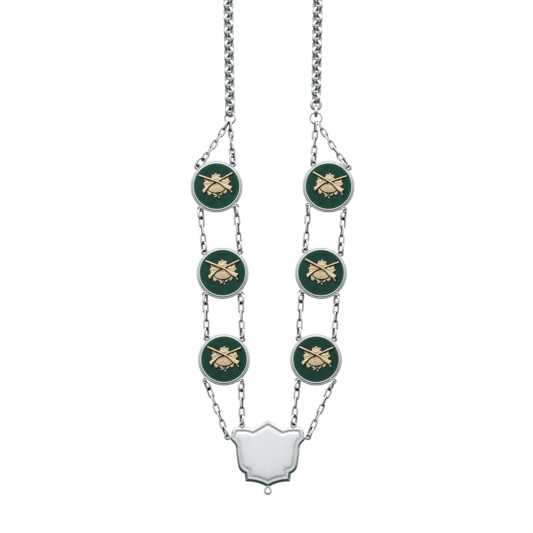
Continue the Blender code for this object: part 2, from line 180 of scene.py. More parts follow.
def polishedSilver(shader, look):
    p = polish
    point = shader.objectPoint()
    patch = shader.noise(point, *p["patch"])
    scratch = shader.noise(shader.stretched(point, p["scratchStretch"]), *p["scratch"])
    # painted shade with tarnish, in crevices and where links touch
    dark = shader.remap(recess(shader) + p["patchInTarnishAndShade"] * patch, *p["tarnishAndShadeRange"])
    face = shader.mixColor(shader.remap(patch, *p["wornRange"]), look["clean"], look["worn"])
    rough = patch + p["scratchInRoughness"] * scratch
    return {
        "Base Color": shader.mixColor(dark, face, look["tarnishAndShade"]),
        "Metallic": look["metallic"],
        "Roughness": shader.remap(rough, *p["roughRange"], *look["roughness"]),
        "Normal": shader.bump(scratch, p["scratchBump"]),
    }


# The edge colour is painted shade along the border of the field, mostly at its foot
satinLook = {
    "face": rgb(0.96, 0.972, 1.0), "shade": rgb(0.94, 0.957, 0.985), "edge": rgb(0.37, 0.51, 0.51),
    "roughness": (0.49, 0.52), "metallic": 0.60, "patch": (45, 3), "patchRange": (0.3, 0.7),
    "grain": (3500, 3), "grainStretch": (0.12, 1.0, 1.0), "grainRange": (0.3, 0.7), "grainBump": 0.002,
}


def satinSilver(shader):
    look = satinLook
    point = shader.objectPoint()
    grain = shader.noise(shader.stretched(point, look["grainStretch"]), *look["grain"])
    patch = shader.noise(point, *look["patch"])
    face = shader.mixColor(shader.remap(patch, *look["patchRange"]), look["face"], look["shade"])
    return {
        # painted shade along the border
        "Base Color": shader.mixColor(recess(shader), face, look["edge"]),
        "Metallic": look["metallic"],
        "Roughness": shader.remap(grain, *look["grainRange"], *look["roughness"]),
        "Normal": shader.bump(grain, look["grainBump"]),
    }


enamelLook = {
    "deep": rgb(0.007, 0.033, 0.022), "light": rgb(0.009, 0.049, 0.032), "edge": rgb(0.005, 0.070, 0.034),
    "roughness": (0.05, 0.11), "specular": 0.14, "ior": 1.50,
    "cloud": (150, 4, 0.6), "colorRange": (0.35, 0.7), "roughRange": (0.3, 0.7),
    "wave": (240, 1), "waveBump": 0.04, "waveDepth": 0.0002,
}


def greenEnamel(shader):  # glass over bright metal, so it is lighter where it thins out at the rim
    look = enamelLook
    point = shader.objectPoint()
    cloud = shader.noise(point, *look["cloud"])
    wave = shader.noise(point, *look["wave"])
    body = shader.mixColor(shader.remap(cloud, *look["colorRange"]), look["deep"], look["light"])
    return {
        "Base Color": shader.mixColor(recess(shader), body, look["edge"]),
        "Metallic": 0.0,
        "Roughness": shader.remap(cloud, *look["roughRange"], *look["roughness"]),
        "Specular IOR Level": look["specular"],
        "IOR": look["ior"],
        "Normal": shader.bump(wave, look["waveBump"], look["waveDepth"]),
    }


# The dull colour serves dull patches and painted shade, and the recess colour is painted shadow below and
# beside the raised forms
giltLook = {
    "bright": rgb(0.98, 0.85, 0.60), "dull": rgb(0.70, 0.52, 0.29), "recess": rgb(0.022, 0.015, 0.009),
    "roughness": (0.15, 0.27), "metallic": 0.80, "patch": (900, 4, 0.6), "grain": (2600, 2),
    "grainBump": 0.07, "shadeInDull": 0.8, "dullRange": (0.35, 0.8), "shadowRange": (0.2, 0.75),
    "recessInRoughness": 0.4, "roughRange": (0.3, 0.8),
}


def giltCasting(shader):
    look = giltLook
    point = shader.objectPoint()
    patch = shader.noise(point, *look["patch"])
    grain = shader.noise(point, *look["grain"])
    # painted shadow below and beside the raised forms, with the duller tone of the target
    dark = recess(shader)
    dull = shader.remap(patch + look["shadeInDull"] * dark, *look["dullRange"])
    face = shader.mixColor(dull, look["bright"], look["dull"])
    rough = patch + look["recessInRoughness"] * dark
    return {
        "Base Color": shader.mixColor(shader.remap(dark, *look["shadowRange"]), face, look["recess"]),
        "Metallic": look["metallic"],
        "Roughness": shader.remap(rough, *look["roughRange"], *look["roughness"]),
        "Normal": shader.bump(grain, look["grainBump"]),
    }


silver = surface("silver", lambda shader: polishedSilver(shader, silverLook))
chainSilver = surface("chain_silver", lambda shader: polishedSilver(shader, chainLook))
satin = surface("satin_silver", satinSilver)
enamel = surface("green_enamel", greenEnamel)
gilt = surface("gilt", giltCasting)
print("materials made")


# Meshes
def meshFrom(name, points, faces, recesses):
    mesh = bpy.data.meshes.new(name)
    mesh.from_pydata(points, [], faces)
    layer = mesh.attributes.new("recess", "FLOAT", "POINT")
    layer.data.foreach_set("value", recesses)
    return mesh


def gridMesh(name, lines, loopLines, loopPoints, recesses):  # quads over lines of points
    count = len(lines[0])
    faces = []
    for line in range(len(lines) if loopLines else len(lines) - 1):
        here = line * count
        there = (line + 1) % len(lines) * count
        for index in range(count if loopPoints else count - 1):
            after = (index + 1) % count
            faces.append((here + index, here + after, there + after, there + index))
    return meshFrom(name, [point for line in lines for point in line], faces, recesses)


def joined(name, placed):  # copies of (mesh, matrix) pairs in one mesh, with their normals outward
    whole = bmesh.new()
    for mesh, place in placed:
        copy = mesh.copy()
        copy.transform(place)
        whole.from_mesh(copy)
        bpy.data.meshes.remove(copy)
    bmesh.ops.remove_doubles(whole, verts=whole.verts, dist=weldDistance)
    bmesh.ops.recalc_face_normals(whole, faces=whole.faces)
    mesh = bpy.data.meshes.new(name)
    whole.to_mesh(mesh)
    whole.free()
    return mesh


def finished(mesh, material):  # millimetres to metres, smooth but for its sharp edges
    mesh.transform(Matrix.Scale(mm, 4))
    mesh.materials.append(material)
    mesh.shade_smooth()
    mesh.set_sharp_from_angle(angle=sharpAngle)
    return mesh


def addPiece(name, mesh, node, place=unmoved):
    piece = bpy.data.objects.new(name, mesh)
    bpy.context.scene.collection.objects.link(piece)
    piece.matrix_world = place
    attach(piece, "root")
    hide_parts(node)


def spot(x, y):
    return Matrix.Translation((x, y, 0.0))


def turned(degrees, axis="Z"):
    return Matrix.Rotation(math.radians(degrees), 4, axis)


def facing(x, z):  # from the drawing plane to an upright plane that faces the viewer
    return Matrix.Translation((x, 0.0, z)) @ turned(90, "X")


def nodeCentre(node):
    low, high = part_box(node)
    return (low + high) / 2


def ovalPath(halfLength, halfWidth, arcSteps):  # centreline of a link: (point, outward) along y
    path = []
    straight = halfLength - halfWidth
    for end in (1, -1):
        for step in range(arcSteps + 1):
            angle = math.pi * step / arcSteps + (0 if end == 1 else math.pi)
            outward = Vector((math.cos(angle), math.sin(angle), 0.0))
            path.append((outward * halfWidth + Vector((0.0, end * straight, 0.0)), outward))
    if straight < weldDistance:  # the arcs of a round ring share their ends
        del path[arcSteps]
        del path[-1]
    return path


# Painted shade with some grime in the hole of a ring or link and at its ends, where it rubs on the next one
ringDarkening = {"grimeAndShade": (0.5, 1.0), "holePower": 1.6, "endPower": 4, "endLevel": 0.3, "endDepth": 0.6}


def sweptRing(name, path, section, grimeAndShade=ringDarkening["grimeAndShade"]):
    # a section of (outward, sideways) points swept round a closed path
    holeGrimeAndShade, endGrimeAndShade = grimeAndShade
    lines = [[point + outward * away + Vector((0.0, 0.0, aside)) for away, aside in section]
             for point, outward in path]
    # painted shade with some grime: darker towards the hole and at the ends, where links touch
    reach = [away for away, _ in section]
    depths = [((max(reach) - away) / (max(reach) - min(reach))) ** ringDarkening["holePower"] for away in reach]
    nearEnds = [abs(outward.y) ** ringDarkening["endPower"] for _, outward in path]
    recesses = [holeGrimeAndShade * depth + endGrimeAndShade * nearEnd * (ringDarkening["endLevel"] + ringDarkening["endDepth"] * depth)
                for nearEnd in nearEnds for depth in depths]
    return gridMesh(name, lines, True, True, recesses)


def fullCircle(steps):
    return [math.tau * step / steps for step in range(steps)]


def wireSection(diameter, steps):
    return [(math.cos(angle) * diameter / 2, math.sin(angle) * diameter / 2) for angle in fullCircle(steps)]


def wireLink(name, length, ring, grimeAndShade=ringDarkening["grimeAndShade"]):
    wire = ring["wire"]
    path = ovalPath((length - wire) / 2, (ring["width"] - wire) / 2, ring["arcSteps"])
    return sweptRing(name, path, wireSection(wire, ring["wireSteps"]), grimeAndShade)


# Reliefs
def smoothed(points, steps):  # a closed curve through given points
    curve = []
    count = len(points)
    for index in range(count):
        before, start, end, after = (Vector(points[(index + shift) % count]) for shift in (-1, 0, 1, 2))
        for step in range(steps):
            t = step / steps
            curve.append(0.5 * (2 * start + (end - before) * t
                                + (2 * before - 5 * start + 4 * end - after) * t * t
                                + (3 * start - before - 3 * end + after) * t * t * t))
    return curve


def nearness(points, outline):  # distance of each point to the nearest side of an outline
    start = numpy.array(outline)
    side = numpy.roll(start, -1, axis=0) - start
    away = points[:, None, :] - start[None]
    share = (away * side).sum(2) / (side * side).sum(1)
    gap = away - numpy.clip(share, 0, 1)[..., None] * side
    return numpy.sqrt((gap * gap).sum(2).min(1))


def within(points, outline):  # whether each point lies inside an outline
    start = numpy.array(outline)
    end = numpy.roll(start, -1, axis=0)
    x, y = points[:, :1], points[:, 1:]
    straddles = (start[:, 1] > y) != (end[:, 1] > y)
    rise = numpy.where(end[:, 1] == start[:, 1], 1e-9, end[:, 1] - start[:, 1])  # never 0
    cut = start[:, 0] + (y - start[:, 1]) * (end[:, 0] - start[:, 0]) / rise
    return (straddles & (x < cut)).sum(1) % 2 == 1


def insetPoint(outline, index, inset):  # mitred offset of one corner of a clockwise outline
    count = len(outline)
    before = (outline[index] - outline[index - 1]).normalized()
    after = (outline[(index + 1) % count] - outline[index]).normalized()
    inward = Vector((before.y + after.y, -before.x - after.x))
    return outline[index] + inward * inset / max(mitreLimit, 1 + before.dot(after))


def clockwise(outline):
    area = sum(a.x * b.y - b.x * a.y for a, b in zip(outline, outline[1:] + outline[:1]))
    return outline if area < 0 else outline[::-1]


# Grid of a relief: points closer than this are one, the share of an inset that has to be left,
# and the distance of its rows and its margin inside the last inset in shares of the spacing
relief = {"doubled": 0.01, "insetLeft": 0.93, "rowShare": 0.866, "margin": 0.55, "tolerance": 1e-5}


def reliefMesh(name, outline, height, back, spacing, insets, shade):
    # a raised form: height(x, y, edge) over a grid of points, with edge the distance to the outline
    outline = clockwise([Vector(point) for point in outline])
    outline = [point for index, point in enumerate(outline)
               if (point - outline[index - 1]).length > relief["doubled"]]
    count = len(outline)
    inner = []
    for inset in insets:
        ring = numpy.array([insetPoint(outline, index, inset) for index in range(count)])
        kept = (nearness(ring, outline) > inset * relief["insetLeft"]) & within(ring, outline)
        inner += [tuple(point) for point in ring[kept]]
    (left, low), (right, high) = numpy.min(outline, 0).tolist(), numpy.max(outline, 0).tolist()
    grid = []
    for line in range(int((high - low) / (spacing * relief["rowShare"])) + 1):
        y = low + line * spacing * relief["rowShare"]
        for column in range(int((right - left) / spacing) + 2):
            grid.append((left + (column + 0.5 * (line % 2)) * spacing, y))
    grid = numpy.array(grid)
    grid = grid[within(grid, outline)]
    grid = grid[nearness(grid, outline) > insets[-1] + spacing * relief["margin"]]
    flat = [Vector(point) for point in [*outline, *inner, *grid.tolist()]]
    rimSides = [(index, (index + 1) % count) for index in range(count)]
    places, _, faces, origins, _, _ = delaunay_2d_cdt(flat, rimSides, [], 1, relief["tolerance"])
    spread = numpy.array(places)
    edge = nearness(spread, outline)
    heights = height(spread[:, 0], spread[:, 1], edge)
    points = [(*place, top) for place, top in zip(spread, heights)]
    newIndex = {old: index for index, olds in enumerate(origins) for old in olds}
    rim = [newIndex[index] for index in range(count)]
    faces = [tuple(face) for face in faces]
    base = len(points)
    points += [(*spread[index], back) for index in rim]
    for index in range(count):
        after = (index + 1) % count
        faces.append((rim[index], rim[after], base + after, base + index))
    faces.append(tuple(range(base, base + count)))
    return meshFrom(name, points, faces, list(shade(spread, edge)) + [1.0] * count)


def roundedEdge(edge, width):  # 0 at the outline, 1 from the given distance inwards
    share = numpy.clip(edge / width, 0, 1)
    return numpy.sqrt(1 - (1 - share) ** 2)


def ridge(distance, width):  # 1 on a line, fading out to either side
    return numpy.exp(-(distance / width) ** 2)


# Neck chain
neckChain = {
    "links": 42, "diameter": 9.6, "thickness": 2.23, "width": 2.6, "innerFlat": 1.7, "shoulder": 1.05,
    "pitch": 5.0884, "roll": 45, "untwistedLinks": 20, "footTwistedLinks": {"Left": 0, "Right": 3},
    "footHalfGap": 33.05, "footZ": -191.770, "archRadius": 35.6, "archCentreZ": -31.287,
    # last pair: painted shade with some grime, in the hole and at the ends of each link
    "pathSteps": 22, "domeSteps": 12, "domePower": 0.8, "flankSteps": 4, "grimeAndShade": (0.46, 0.90),
}


def neckSection():  # half-round band, flat on the inner side
    c = neckChain
    section = []
    for step in range(c["domeSteps"] + 1):
        angle = math.pi * (0.5 - step / c["domeSteps"])
        away = c["shoulder"] + (c["thickness"] - c["shoulder"]) * math.cos(angle) ** c["domePower"]
        section.append((away, c["width"] / 2 * math.sin(angle)))
    flank = []
    for step in range(1, c["flankSteps"] + 1):
        angle = math.pi / 2 * step / c["flankSteps"]
        aside = c["innerFlat"] / 2 + (c["width"] - c["innerFlat"]) / 2 * math.cos(angle)
        flank.append((c["shoulder"] * (1 - math.sin(angle)), aside))
    return section + [(away, -aside) for away, aside in flank] + flank[::-1]


def strandPlace(along, sign):
    c = neckChain
    straight = math.hypot(c["archRadius"] - c["footHalfGap"], c["archCentreZ"] - c["footZ"])
    lean = math.asin((c["archRadius"] - c["footHalfGap"]) / straight)
    if along < straight:
        direction = Vector((math.sin(lean), 0.0, math.cos(lean)))
        place = Vector((c["footHalfGap"], 0.0, c["footZ"])) + direction * along
    else:
        angle = (along - straight) / c["archRadius"]
        direction = Vector((-math.sin(angle), 0.0, math.cos(angle)))
        place = Vector((math.cos(angle), 0.0, math.sin(angle))) * c["archRadius"]
        place.z += c["archCentreZ"]
    return Vector((sign * place.x, 0.0, place.z)), Vector((sign * direction.x, 0.0, direction.z))


def neckRoll(index, side):  # 0 faces the viewer, 90 is edge on
    c = neckChain
    last = c["links"] - 1
    twisted = max(0, index - c["untwistedLinks"]) / (last - c["untwistedLinks"])
    roll = c["roll"] * (1 - twisted) + 90 * ((last - index) % 2)
    foot = c["footTwistedLinks"][side]
    if index < foot:
        roll += (90 - c["roll"] - 90 * (last % 2)) * (1 - index / foot)
    return roll


def linkMatrix(place, direction, roll):  # y along the chain and z through the link's hole
    front = Vector((0.0, 1.0, 0.0))
    hole = front * math.cos(roll) + direction.cross(front) * math.sin(roll)
    axes = Matrix((direction.cross(hole), direction, hole)).transposed().to_4x4()
    return Matrix.Translation(place) @ axes


def buildNeckChain(side, sign):
    c = neckChain
    inner = c["diameter"] / 2 - c["thickness"]
    path = ovalPath(inner, inner, c["pathSteps"])
    link = sweptRing("neckLink", path, neckSection(), c["grimeAndShade"])
    placed = []
    for index in range(c["links"]):
        place, direction = strandPlace(index * c["pitch"], sign)
        placed.append((link, linkMatrix(place, direction, sign * math.radians(neckRoll(index, side)))))
    mesh = finished(joined("neckChain" + side, placed), silver)
    addPiece("neckChain" + side, mesh, "neck_chain_" + side.lower())


for sideName, sideSign in sides.items():
    buildNeckChain(sideName, sideSign)
print("neck chain made")


# Clasp ring, the rings that the fine chains hang on, and the eyelets of medals and shield
clasp = {"width": 16.0, "wire": 2.2, "arcSteps": 32, "wireSteps": 20}
junction = {"width": 10.2, "wire": 1.3, "arcSteps": 24, "wireSteps": 16, "turn": {"Left": -28, "Right": 0}}
eyelet = {"width": 5.2, "wire": 1.45, "arcSteps": 18, "wireSteps": 14}


def wireRing(name, ring):
    return wireLink(name, ring["width"], ring)


def holeRadius(ring):
    return ring["width"] / 2 - ring["wire"]


def buildRings():
    place = Matrix.Translation(nodeCentre("clasp_ring"))
    addPiece("claspRing", finished(wireRing("claspRing", clasp), silver), "clasp_ring", place)
    mesh = finished(wireRing("junctionRing", junction), silver)
    for side in sides:
        node = "junction_ring_" + side.lower()
        place = Matrix.Translation(nodeCentre(node)) @ turned(junction["turn"][side]) @ turned(90, "X")
        addPiece("junctionRing" + side, mesh, node, place)


buildRings()
print("rings made")


# Medals
medal = {
    "turn": {"LeftTop": 4.0, "LeftMiddle": 1.0, "LeftLow": -1.5,
             "RightTop": -6.5, "RightMiddle": -5.0, "RightLow": -1.0},
    "roundSteps": 192, "cupFloor": -0.4, "eyeletReach": 21.2, "eyeletHalfAngle": 40,
    "enamelRadius": 17.25, "enamelEdge": 0.86, "enamelCrown": 0.36, "enamelSteps": 24, "enamelBright": 1.1,
}
# Half section of the silver cup from the middle of its back, round the stepped rim, to its floor:
# radius, height and how deep in a crevice, which lays in painted shade and tarnish
cupProfile = [
    (0, -1.6, 0), (10, -1.6, 0), (17.4, -1.6, 0), (17.8, -1.6, 0), (17.95, -1.5, 0.4), (18.15, -1.5, 0.4),
    (18.3, -1.6, 0), (19.2, -1.6, 0), (19.65, -1.52, 0), (19.92, -1.3, 0), (20, -1, 0), (20, -0.2, 0.1),
    (19.98, 0.06, 0), (19.9, 0.3, 0), (19.77, 0.48, 0), (19.6, 0.58, 0), (19.4, 0.63, 0), (19.15, 0.665, 0),
    (19.02, 0.65, 0.3), (18.93, 0.6, 0.7), (18.85, 0.6, 0.7), (18.78, 0.68, 0.4), (18.72, 0.84, 0.1),
    (18.64, 1.02, 0), (18.54, 1.12, 0), (18.38, 1.18, 0), (18.1, 1.225, 0), (17.85, 1.26, 0),
    (17.66, 1.25, 0), (17.52, 1.18, 0.1), (17.42, 1.06, 0.4), (17.33, 0.9, 0.8), (17.25, 0.6, 1),
    (17.25, -0.4, 1), (0, -0.4, 1),
]


def turnedMesh(name, profile, steps):
    lines = [[(radius * math.cos(angle), radius * math.sin(angle), height) for radius, height, _ in profile]
             for angle in fullCircle(steps)]
    return gridMesh(name, lines, True, False, [depth for *_, depth in profile] * steps)


def eyeletAngle(end, outward):  # end 1 is the upper pair, outward 1 the right one
    middle = 90 if end == 1 else 270
    return middle - end * outward * medal["eyeletHalfAngle"]


def buildBezelMesh():
    loop = wireRing("eyelet", eyelet)
    placed = [(turnedMesh("cup", cupProfile, medal["roundSteps"]), unmoved)]
    placed += [(loop, turned(eyeletAngle(end, outward)) @ spot(medal["eyeletReach"], 0.0))
               for end in (1, -1) for outward in (1, -1)]
    return finished(joined("bezel", placed), silver)


def buildEnamelMesh():
    m = medal
    profile = [(0.0, m["cupFloor"], 0.0), (m["enamelRadius"], m["cupFloor"], 1.0)]
    for step in range(m["enamelSteps"]):
        share = math.cos(math.pi / 2 * step / m["enamelSteps"])
        inward = m["enamelRadius"] * (1 - share)
        profile.append((m["enamelRadius"] * share, m["enamelEdge"] + m["enamelCrown"] * (1 - share ** 2),
                        math.exp(-(inward / m["enamelBright"]) ** 2)))
    profile.append((0.0, m["enamelEdge"] + m["enamelCrown"], 0.0))
    return finished(joined("enamel", [(turnedMesh("disc", profile, m["roundSteps"]), unmoved)]), enamel)


# Emblem: rifles crossed over a target, with oak leaves, acorns and a ribbon
emblem = {
    "back": 0.90, "spacing": 0.25, "insets": [0.09, 0.22], "curveSteps": 5,
    # Painted shadow on the casting: its reach below higher forms, the offset it falls by, and its darkness
    # and reach along lower edges
    "shadowReach": 0.46, "shadowOffset": (-0.16, 0.28), "edgeShadow": 0.8, "edgeReach": 0.22,
    "webTop": 1.40, "webDrop": 0.2, "webRound": 0.3,
    "ribbonTop": 2.0, "ribbonStep": 0.04, "ribbonDrop": 0.45, "ribbonRound": 0.5,
}
webOutline = [
    (0.1, 7.5), (2.5, 6.6), (4.6, 5.2), (8.2, 4.8), (9.4, 2.6), (8.0, -0.4), (6.9, -3.2), (5.4, -4.4),
    (2.5, -4.2), (0.0, -4.5), (-2.5, -4.2), (-5.0, -4.6), (-6.6, -3.6), (-7.4, -1.2), (-8.3, 1.0),
    (-8.2, 4.2), (-4.6, 5.0), (-2.6, 6.2),
]
# Each leaf: rib from its foot to its tip, dimples as x, y and radius, and its lobed outline
leaves = [
    {"rib": ((0.2, 3.6), (0.1, 9.9)),
     "dimples": [(0.1, 8.3, 0.34), (-1.7, 7.3, 0.3), (1.9, 7.3, 0.3)],
     "outline": [
         (0.2, 3.2), (-2.4, 4.6), (-4.0, 6.2), (-3.0, 7.3), (-3.1, 8.6), (-2.1, 9.2), (-1.0, 8.8),
         (-0.7, 9.8), (0.1, 10.3), (0.9, 9.8), (1.1, 8.9), (2.4, 9.2), (3.6, 8.8), (3.5, 7.6), (2.9, 6.8),
         (4.7, 6.2), (2.6, 4.6),
     ]},
    {"rib": ((-1.0, 3.2), (-8.9, 3.0)),
     "dimples": [(-7.1, 4.3, 0.34), (-7.2, 1.4, 0.36), (-4.7, 3.6, 0.28), (-5.6, 1.9, 0.28)],
     "outline": [
         (-0.6, 3.2), (-2.8, 4.4), (-4.6, 5.1), (-6.2, 4.7), (-7.2, 5.7), (-8.7, 6.1), (-9.0, 4.9),
         (-8.4, 4.1), (-9.4, 3.6), (-9.9, 2.2), (-9.2, 1.4), (-9.5, 0.4), (-8.8, -0.6), (-7.2, -0.8),
         (-5.0, 0.2), (-2.4, 1.6),
     ]},
    {"rib": ((1.4, 3.4), (9.9, 4.2)),
     "dimples": [(9.2, 2.7, 0.36), (6.0, 2.3, 0.34), (7.5, 3.7, 0.3), (4.4, 3.3, 0.28), (8.6, 5.0, 0.26)],
     "outline": [
         (1.0, 3.2), (3.0, 4.4), (5.4, 5.0), (7.4, 5.3), (8.6, 6.2), (9.6, 6.2), (10.0, 5.2), (9.9, 4.2),
         (10.9, 3.4), (11.2, 2.6), (10.2, 1.8), (9.4, 1.3), (9.4, 0.2), (8.2, -0.6), (6.4, -0.4),
         (4.4, 1.4), (2.6, 2.6),
     ]},
]
leafShape = {
    "top": 2.05, "drop": 0.55, "rise": 0.4, "round": 0.7, "plainEdge": 0.4,
    "ribHeight": 0.28, "ribWidth": 0.24, "veinHeight": 0.20, "veinSpacing": 1.7, "veinSlope": 0.8,
    "veinStart": 0.6, "veinLevel": 0.7, "dimpleDepth": 0.50,
    "curl": 0.5, "curlX": 1.9, "curlStartX": 0.7, "curlY": 1.7, "curlStartY": -0.4,
}
# Each acorn: the middle of the seam between nut and cup, and its outline
acorns = [
    {"seam": (-6.1, -3.9), "outline": [
        (-7.0, -2.4), (-7.5, -3.6), (-7.3, -5.2), (-6.7, -6.4), (-5.8, -6.9), (-4.7, -6.3), (-4.0, -5.2),
        (-4.6, -4.3), (-5.7, -3.6),
    ]},
    {"seam": (6.6, -3.8), "outline": [
        (6.6, -2.3), (5.6, -3.5), (4.4, -4.4), (4.2, -5.2), (5.2, -6.0), (6.4, -6.4), (7.4, -5.6),
        (8.0, -4.4), (8.1, -3.2), (7.5, -2.5),
    ]},
]
acornShape = {
    "top": 2.30, "drop": 0.75, "rise": 0.6, "round": 1.2,
    "cupHeight": 0.14, "cupRound": 0.2, "seamBow": 0.35, "seamWave": 1.6,
}
# Ribbon strokes: points with half widths
ribbon = [
    [(-4.0, -4.9, 0.50), (-2.4, -5.8, 0.62), (-0.7, -6.9, 0.68), (0.5, -7.5, 0.55)],
    [(4.2, -5.0, 0.50), (3.3, -6.1, 0.62), (1.9, -6.9, 0.66), (0.4, -7.4, 0.55)],
    [(0.9, -4.9, 0.34), (0.9, -6.0, 0.36), (0.7, -7.2, 0.42)],
    [(0.1, -7.1, 0.50), (1.0, -8.2, 0.62), (1.8, -9.1, 0.60)],
    [(0.2, -7.1, 0.42), (-1.0, -7.7, 0.46), (-2.1, -7.8, 0.50)],
]
# Target: an oval with a rim and two rings, each at a place and with a width in squared shares of its size
targetShape = {
    "centre": (0.0, -1.55), "size": (6.5, 3.35), "steps": 72, "insets": [0.09, 0.22, 0.36, 0.5, 0.64],
    "top": 2.05, "crown": 0.10, "rim": 0.5, "rimHeight": 0.26, "rimRound": 0.18, "rimFall": 0.28,
    "rings": [(0.36, 0.06), (0.10, 0.04)], "ringHeight": 0.05, "dull": 0.16,
}
# Rifles: the line of the barrel, and the outline from the muzzle along the upper edge and back
rifles = [
    {"axis": ((13.1, 9.55), (0.4, 3.9)), "top": 2.65, "outline": [
        (13.3, 8.9), (13.2, 9.8), (12.8, 10.3), (12.3, 9.85), (9.0, 8.45), (5.0, 6.45), (1.5, 4.85),
        (-0.6, 4.2), (-2.6, 3.35), (-4.6, 2.3), (-5.6, 1.6), (-6.9, 0.6), (-9.2, -0.55), (-11.2, -2.1),
        (-11.0, -3.2), (-10.5, -4.3), (-10.0, -5.1), (-9.2, -4.2), (-8.3, -3.0), (-7.5, -2.1),
        (-6.5, -1.0), (-5.4, 0.3), (-4.3, 1.2), (-3.0, 2.05), (-0.7, 3.05), (2.6, 4.15), (7.1, 6.1),
        (10.4, 7.6),
    ]},
    {"axis": ((-13.0, 9.45), (0.3, 3.9)), "top": 3.15, "outline": [
        (-13.2, 8.8), (-13.1, 9.8), (-12.6, 10.3), (-12.1, 9.85), (-8.5, 8.4), (-4.0, 6.45), (0.3, 4.6),
        (2.4, 3.6), (3.4, 2.95), (4.3, 2.7), (5.2, 2.2), (6.6, 1.35), (8.6, 0.5), (10.4, -0.2),
        (12.2, -0.8), (12.0, -1.6), (11.3, -2.6), (10.7, -3.6), (11.5, -4.2), (12.0, -5.0), (11.6, -5.9),
        (10.9, -6.2), (10.8, -5.2), (10.2, -4.3), (9.2, -3.3), (8.1, -2.75), (6.6, -1.95), (5.2, -0.7),
        (4.2, 0.3), (3.2, 1.3), (1.6, 2.55), (0.0, 3.3), (-4.3, 5.05), (-8.9, 6.95),
    ]},
]
# Fittings by their distance from the muzzle: bands, lock and butt plates, and a groove in the stock
rifleShape = {
    "sideLength": 0.45, "drop": 0.75, "round": 0.72, "fittingRound": 0.3,
    "bands": [10.2, 6.0], "bandWidth": 0.2, "bandHeight": 0.09,
    "plates": [(15.4, 18.2), (25.6, math.inf)], "plateHeight": 0.10,
    "groove": (10.4, 14.8), "grooveAside": 0.1, "grooveWidth": 0.12, "grooveDepth": 0.10,
}


def divided(points, spacing):  # a closed outline with its straight sides cut into short ones
    corners = []
    for start, end in zip(points, points[1:] + points[:1]):
        steps = max(1, round(math.dist(start, end) / spacing))
        for step in range(steps):
            corners.append(Vector(start).lerp(Vector(end), step / steps))
    return corners


def strokeOutline(stroke):  # both edges of a ribbon stroke
    left, right = [], []
    for index, (x, y, half) in enumerate(stroke):
        before = stroke[max(0, index - 1)]
        after = stroke[min(len(stroke) - 1, index + 1)]
        along = Vector((after[0] - before[0], after[1] - before[1])).normalized()
        left.append((x - along.y * half, y + along.x * half))
        right.append((x + along.y * half, y - along.x * half))
    return left + right[::-1]


def lineDistances(x, y, line):  # how far along a line each point is, and how far beside it
    start, end = Vector(line[0]), Vector(line[1])
    run = (end - start).normalized()
    along = (x - start.x) * run.x + (y - start.y) * run.y
    return along, abs((y - start.y) * run.x - (x - start.x) * run.y)


def domeHeight(top, drop, width, x, y, edge):  # a plain form with a rounded edge
    return top - drop + drop * roundedEdge(edge, width)


def leafHeight(leaf, x, y, edge):
    f = leafShape
    along, across = lineDistances(x, y, leaf["rib"])
    rib = f["ribHeight"] * ridge(across, f["ribWidth"])
    curl = f["curl"] * numpy.sin(f["curlX"] * x + f["curlStartX"])
    curl = curl * numpy.cos(f["curlY"] * y + f["curlStartY"])
    turns = math.tau * (along - f["veinSlope"] * across + curl) / f["veinSpacing"]
    veins = f["veinHeight"] * numpy.cos(turns)
    veins = veins * numpy.clip(across / f["veinStart"], 0, 1) * (f["veinLevel"] + curl)
    for dimpleX, dimpleY, radius in leaf["dimples"]:
        far = (x - dimpleX) ** 2 + (y - dimpleY) ** 2
        veins = veins - f["dimpleDepth"] * numpy.exp(-far / radius ** 2)
    body = f["top"] - f["drop"] + f["rise"] * roundedEdge(edge, f["round"])
    return body + (rib + veins) * numpy.clip(edge / f["plainEdge"], 0, 1)


def acornHeight(acorn, x, y, edge):
    f = acornShape
    seamX, seamY = acorn["seam"]
    seam = seamY + f["seamBow"] * numpy.cos(f["seamWave"] * (x - seamX))
    cup = f["cupHeight"] * (y > seam) * roundedEdge(edge, f["cupRound"])
    return f["top"] - f["drop"] + f["rise"] * roundedEdge(edge, f["round"]) + cup


def targetHeight(x, y, edge):
    t = targetShape
    far = ((x - t["centre"][0]) / t["size"][0]) ** 2 + ((y - t["centre"][1]) / t["size"][1]) ** 2
    rings = sum(ridge(far - place, width) for place, width in t["rings"])
    fall = numpy.clip((edge - t["rim"] + t["rimFall"] / 2) / t["rimFall"], 0, 1)
    rim = t["rimHeight"] * (roundedEdge(edge, t["rimRound"]) - fall)
    return t["top"] - t["rimHeight"] + rim + t["ringHeight"] * rings + t["crown"] * (1 - far)


def rifleHeight(rifle, x, y, edge):
    f = rifleShape
    along, across = lineDistances(x, y, rifle["axis"])
    fittings = f["bandHeight"] * sum(ridge(along - place, f["bandWidth"]) for place in f["bands"])
    for begin, end in f["plates"]:
        fittings = fittings + f["plateHeight"] * ((along > begin) & (along < end))
    begin, end = f["groove"]
    groove = f["grooveDepth"] * ridge(across - f["grooveAside"], f["grooveWidth"])
    fittings = fittings - groove * ((along > begin) & (along < end))
    body = rifle["top"] - f["drop"] + f["drop"] * roundedEdge(edge, f["round"])
    return body + fittings * roundedEdge(edge, f["fittingRound"])


